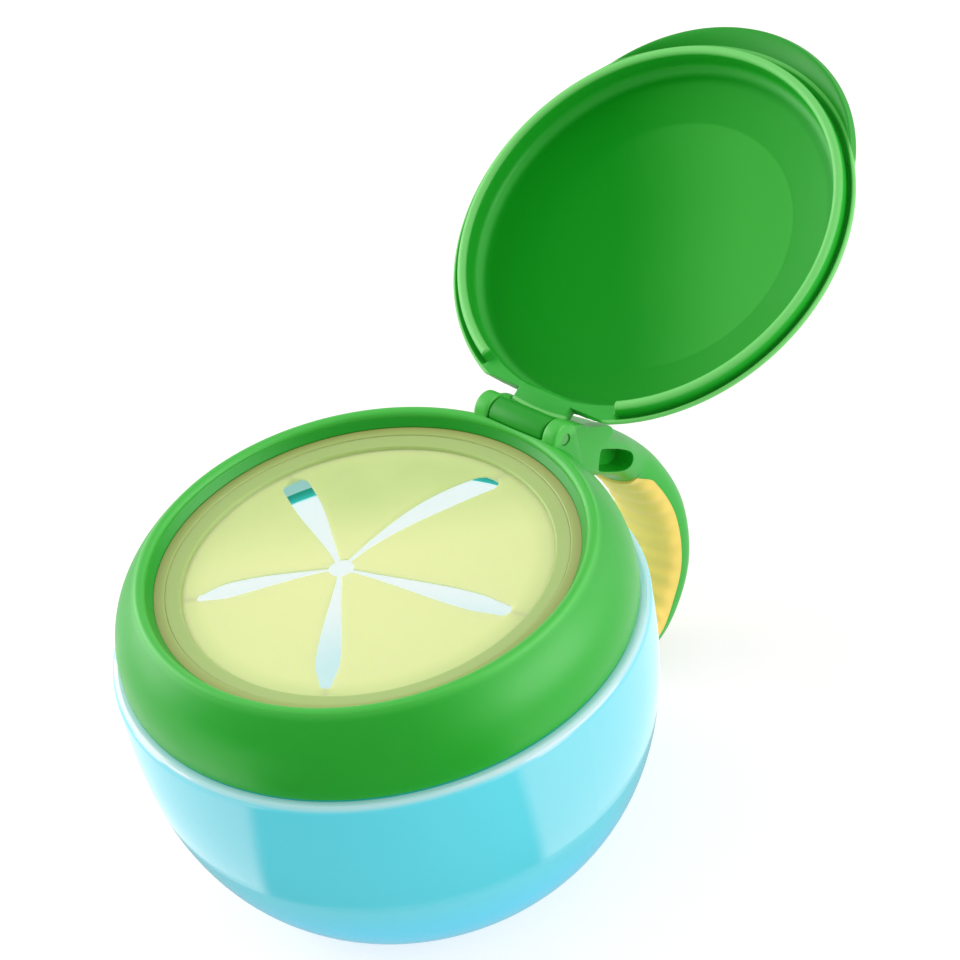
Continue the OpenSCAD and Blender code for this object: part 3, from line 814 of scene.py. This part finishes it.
def make_flap(k):
    rows = flap_rows(k)
    nr, nc = len(rows), len(rows[0])
    top, bot = [], []
    # how far each point lies from the free edge, for the thinned and rounded slit edges
    for i in range(nr):
        for j in range(nc):
            p = rows[i][j]
            far = 50 * (i > FLAP_STEPS[0] + FLAP_STEPS[1])  # past the slits' ends there is no free edge
            e = min(np.linalg.norm(p - rows[i][0]) + far, np.linalg.norm(p - rows[i][-1]) + far,
                    np.linalg.norm(p - rows[0][j]))
            rnd = 0.16 * (1 - math.sqrt(max(0.0, 1 - (1 - min(1.0, e / 0.5)) ** 2)))
            thick = EDGE_T + (DISC_T - EDGE_T) * smooth(e / 3.5)
            top.append((p[0], p[1], DISC_Z - rnd))
            bot.append((p[0], p[1], DISC_Z - thick - rnd * 0.3))
    m = len(top)
    f1 = grid_faces(nr, nc)
    faces = f1 + [tuple(m + v for v in q[::-1]) for q in f1]
    border = [(0, j) for j in range(nc)] + [(i, nc - 1) for i in range(1, nr)]
    border += [(nr - 1, j) for j in range(nc - 2, -1, -1)] + [(i, 0) for i in range(nr - 2, 0, -1)]
    ids = [i * nc + j for i, j in border]
    for a, b in zip(ids, ids[1:] + ids[:1]):
        faces.append((a, b, m + b, m + a))
    o = make("membrane_flap_%d" % (k + 1), top + bot, faces, silicone, 40, merge=0.0005)
    a, b = root_end(k), root_end(k + 1)
    c = (a + b) / 2
    u = (b - a) / np.linalg.norm(b - a)
    out = np.array([u[1], -u[0]])
    s, e = c + out * 0.3, c - out * 3.2
    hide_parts("flap_%d" % (k + 1))
    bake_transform(o)
    return o


for k in range(5):
    make_flap(k)

zt, zb = CARRIER_Z + 1, DISC_Z - DISC_T
ring = [(DISC_R - 0.35, zb + 0.1), (DISC_R - 0.35, DISC_Z - 0.25)]
ring += [(DISC_R - 0.1, DISC_Z + 0.02)] + arc((DISC_R + 0.4, zt - 0.4), 0.4, 175, 90, 6)
ring += [(BAND_R - 1.2, zt + 0.1), (BAND_R - 0.4, zt + 0.24), (BAND_R - 0.02, zt + 0.28)]
ring += [(BAND_R - 0.02, CARRIER_Z - 0.05), (POCKET_R - 0.1, CARRIER_Z - 0.05)]
ring += [(POCKET_R - 0.1, zb - 0.1), (DISC_R + 1, zb - 0.1)]
band = revolve("membrane_band", ring, band_mat, n=240)
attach(band, "collar")
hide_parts("membrane")

hold = [(BAND_R + 0.02, CARRIER_Z)] + arc((BAND_R + 0.32, CEIL_Z - 0.35), 0.3, 180, 90, 5)
hold += [(POCKET_R - 0.4, CEIL_Z - 0.05), (POCKET_R - 0.02, CEIL_Z - 0.15), (POCKET_R - 0.02, CARRIER_Z)]
carrier = revolve("carrier_ring", hold, carrier_mat, n=240)
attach(carrier, "collar")
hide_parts("membrane_carrier")


# the lid, drawn closed and then swung open about the pin

def dome_out(h):
    return LID_R * sup((h - 0.5) / (DOME_H - 0.5), 1.6)


def roof_arch(r):
    return 0.5 + (ROOF_H - 0.5) * sup(r / (LID_R - 0.6), 1.6)


def roof_in(r):
    hc, q = roof_arch(ROOF_R), r / ROOF_R
    return roof_arch(r) if r > ROOF_R else hc + (ROOF_H - ROOF_DROP - 0.45 - hc) * (1 - q * q)


def swing(p):
    a = -OPEN * DEG
    y, z = p[1] - PIN_Y, RIM_Z + p[2] - PIN_Z
    return (p[0], PIN_Y + y * math.cos(a) - z * math.sin(a), PIN_Z + y * math.sin(a) + z * math.cos(a))


def lid_profile(g):
    """Half section as (r, h, kind); g = 0 to 1 brings in the skirt and its groove."""
    out = []
    for i in range(41):
        h = 0.45 + (DOME_H - 0.45) * math.cos(90 * DEG * i / 40)
        out.append((dome_out(h) if i else 0.0, h, "dome"))
    out += [(LID_R, 0.42, "dome")]
    out += [(LID_R - d, h, "rim") for d, h in ((0.04, 0.26), (0.13, 0.12), (0.26, 0.03), (0.4, 0.0))]
    out += [(LID_R - 0.5, q / 8, "slope") for q in range(9)]
    out += [(SKIRT_R, 0.6 * g, "in")]
    rad = (SKIRT_R - SKIRT_IN) / 2
    out += [(SKIRT_R - rad + rad * math.cos(a * DEG),
             (0.85 * rad - SKIRT_H) * g - 0.85 * rad * g * math.sin(a * DEG), "in") for a in range(0, 181, 15)]
    top = roof_arch(SKIRT_IN)
    out += [(SKIRT_IN, top - 1.6, "hollow")]
    out += [(SKIRT_IN - 1.5 * (1 - math.cos(a * DEG)), top - 1.35 + 1.45 * math.sin(a * DEG), "hollow")
            for a in (0, 18, 36, 54, 72)]
    r0 = SKIRT_IN - 2
    for i in range(16):
        r = r0 + (ROOF_R - r0) * i / 15
        out.append((r, roof_in(r), "hollow"))
    for i in range(1, 21):
        r = ROOF_R * (1 - i / 20)
        out.append((r, roof_in(r), "hollow"))
    return out


def make_lid():
    half = math.asin(SKIRT_OPEN / SKIRT_R) / DEG
    corner = math.acos(LID_CUT / LID_R) / DEG
    extra = [corner, corner + 0.4, corner - 0.4] + [half + d for d in (0, 0.35, 0.7, 1.05, 1.4)]
    angles = sorted(set([round(90 + s * a, 3) for s in (1, -1) for a in extra] + [i * 1.5 for i in range(240)]))
    verts, k = [], 0
    rt = LID_R - 5.4
    ct = LID_R + TAB - rt
    for a in angles:
        c, s = math.cos(a * DEG), math.sin(a * DEG)
        d = abs((a - 90 + 180) % 360 - 180)
        g = smooth((d - half) / 1.4)
        reach = LID_CUT / s if s > 0.05 else 1e9
        reach_in = (LID_CUT - 1.6) / s if s > 0.05 else 1e9
        prof = lid_profile(g)
        k = len(prof)
        low = LID_R
        for r, h, kind in prof:
            lim = reach_in if kind == "hollow" else reach
            if kind == "rim":
                r += low - LID_R
            if kind == "slope":
                r0 = low - 0.5
                w = smooth((low - LID_R) / 2)
                r, h = r0 + (SKIRT_R + 0.12 - r0) * h, g * (1.15 + 0.9 * w) * h ** (1.0 + 0.4 * w)
            if kind == "dome":
                # thumb lip: the outline swells towards a lower disc of radius rt, set forward by ct
                hh = max(0.0, h - 1.0)
                rho = rt * sup(hh / 3.2, 2.0) if h < 4.2 else 0.0
                lo = smooth(h / 1.3)
                u = -ct * s
                disc = u * u - ct * ct + rho * rho
                rr = (u + math.sqrt(disc)) if (disc > 0 and s < 0) else -99
                if rr > r:
                    r = rr - (1 - lo) * min(0.6, rr - r)
                low = r
            verts.append(swing((min(r, lim) * c, min(r, lim) * s, h)))
    shell = make("lid_shell", verts, grid_faces(len(angles), k, True, False), lid_green, 32, merge=0.002)

    dz, kr, w = PIN_Z - RIM_Z, KNUCKLE_R, KNUCKLE_W / 2
    ys = PIN_Y - math.sqrt(kr * kr - dz * dz)

    def tongue(q):
        r = kr - q
        a0 = math.asin((q - dz) / r) / DEG
        pts = [(LID_CUT - 1, q), (PIN_Y - math.sqrt(r * r - (q - dz) ** 2), q)]
        pts += [(PIN_Y + r * math.cos(a * DEG), dz + r * math.sin(a * DEG))
                for a in np.linspace(180 - a0, 450, 40)[1:]]
        return [(y, h) for y, h in pts + [(LID_CUT - 1, dz + r)]]

    def tongue_open(q):
        return [swing((0, y, h))[1:] for y, h in tongue(q)]

    t = rounded_slab("t", tongue_open, -w, w, 0.35)
    lid = boolean(shell, t)
    shade(lid, 32)
    lid.data.materials.clear()
    lid.data.materials.append(lid_green)
    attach(lid, "lid")
    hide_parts("lid")
    return lid


make_lid()


# floor, world and lamps

def sector(m, x, y, lo, hi, soft):
    """0 in the sector between the azimuths lo and hi, in degrees, and 1 outside of it."""
    az = m.math("MULTIPLY", m.math("ARCTAN2", y, x), 180 / math.pi)
    return m.math("MAXIMUM", m.step(az, lo - soft, lo + soft, 1.0, 0.0), m.step(az, hi - soft, hi + soft))


def floor():
    """White to the camera, with the object's shadow; glossy rays see bright sides and a dark front sector."""
    bm = bmesh.new()
    bmesh.ops.create_grid(bm, x_segments=8, y_segments=8, size=3.0)
    bmesh.ops.translate(bm, verts=bm.verts, vec=(0, 0, -0.00005))
    me = bpy.data.meshes.new("floor")
    bm.to_mesh(me)
    bm.free()
    o = bpy.data.objects.new("floor", me)
    bpy.context.scene.collection.objects.link(o)
    m = Mat("floor")
    diff = m.n("ShaderNodeBsdfDiffuse")
    diff.inputs["Color"].default_value = (0.8, 0.8, 0.8, 1)
    glow = m.n("ShaderNodeEmission")
    glow.inputs["Strength"].default_value = 0.68
    soft = m.n("ShaderNodeBsdfDiffuse")
    soft.inputs["Color"].default_value = (0.48, 0.4, 0.4, 1)
    add = m.n("ShaderNodeAddShader")
    m.put(add.inputs[0], soft.outputs[0])
    m.put(add.inputs[1], glow.outputs[0])
    gloss = m.n("ShaderNodeEmission")
    az = m.math("MULTIPLY", m.math("ARCTAN2", m.axis(1), m.axis(0)), 180 / math.pi)
    right = m.math("MULTIPLY", m.step(az, -9, -3), m.step(az, 60, 120, 1.0, 0.6))
    sides = m.math("MAXIMUM", m.step(az, -100, -93, 1.25, 0.0), m.math("MULTIPLY", right, 1.35))
    under = m.step(m.radius(), 0.048, 0.052, 1.0, 0.0)
    sides = m.math("MULTIPLY", sides, m.math("SUBTRACT", 1.0, under))
    sides = m.math("ADD", sides, m.math("MULTIPLY", under, 0.4))
    m.put(gloss.inputs["Strength"], m.math("ADD", sides, 0.02))
    lp = m.n("ShaderNodeLightPath")
    seen = m.math("MAXIMUM", lp.outputs["Is Camera Ray"], lp.outputs["Is Transmission Ray"])
    me.materials.append(m.done(m.shaders(lp.outputs["Is Glossy Ray"], m.shaders(seen, diff, add), gloss)))


def world(level):
    """White to the camera, level to diffuse rays; glossy rays see a dark front and a bright right side."""
    w = bpy.data.worlds.new("studio")
    bpy.context.scene.world = w
    w.use_nodes = True
    m = Mat.__new__(Mat)
    m.t = w.node_tree
    m.t.nodes.clear()
    out = m.n("ShaderNodeOutputWorld")
    x = m.n("ShaderNodeSeparateXYZ")
    m.put(x.inputs[0], m.n("ShaderNodeTexCoord").outputs["Generated"])
    height = m.step(x.outputs[2], 0.6, 0.85, 1.15, 0.9)
    side = m.math("MULTIPLY", sector(m, x.outputs[0], x.outputs[1], -128, 0, 18), height)
    side = m.math("MAXIMUM", side, m.step(x.outputs[2], 0.8, 0.93, 0.0, 1.0))
    lobe = m.math("SUBTRACT", 1.0, sector(m, x.outputs[0], x.outputs[1], -10, 85, 18))
    side = m.math("ADD", side, m.math("MULTIPLY", lobe, 1.7))
    glossy = m.math("ADD", side, 0.05)
    lp = m.n("ShaderNodeLightPath")
    bg = []
    for strength in (level, glossy, 1.0):
        q = m.n("ShaderNodeBackground")
        m.put(q.inputs["Strength"], strength)
        bg.append(q)
    lit = m.shaders(lp.outputs["Is Glossy Ray"], bg[0], bg[1])
    m.t.links.new(m.shaders(lp.outputs["Is Camera Ray"], lit, bg[2]).outputs[0], out.inputs["Surface"])


def lamp(name, az, el, dist, w, h, radiance, aim=(0, 0.01, 0.04)):
    """Soft box that faces the object from azimuth az and elevation el."""
    d = bpy.data.lights.new(name, "AREA")
    d.shape = "RECTANGLE"
    d.size, d.size_y = w, h
    d.energy = radiance * math.pi * w * h
    o = bpy.data.objects.new(name, d)
    bpy.context.scene.collection.objects.link(o)
    a, e = az * DEG, el * DEG
    v = Vector((math.cos(a) * math.cos(e), math.sin(a) * math.cos(e), math.sin(e)))
    o.location = Vector(aim) + v * dist
    o.rotation_mode = "QUATERNION"
    o.rotation_quaternion = (-v).to_track_quat("-Z", "Y")


floor()
world(0.9)
lamp("left_box", 196, 22, 1.0, 0.8, 0.8, 3.0)
lamp("right_box", 27, 14, 1.0, 0.8, 0.62, 2.5)

bpy.context.scene.view_settings.view_transform = "Standard"
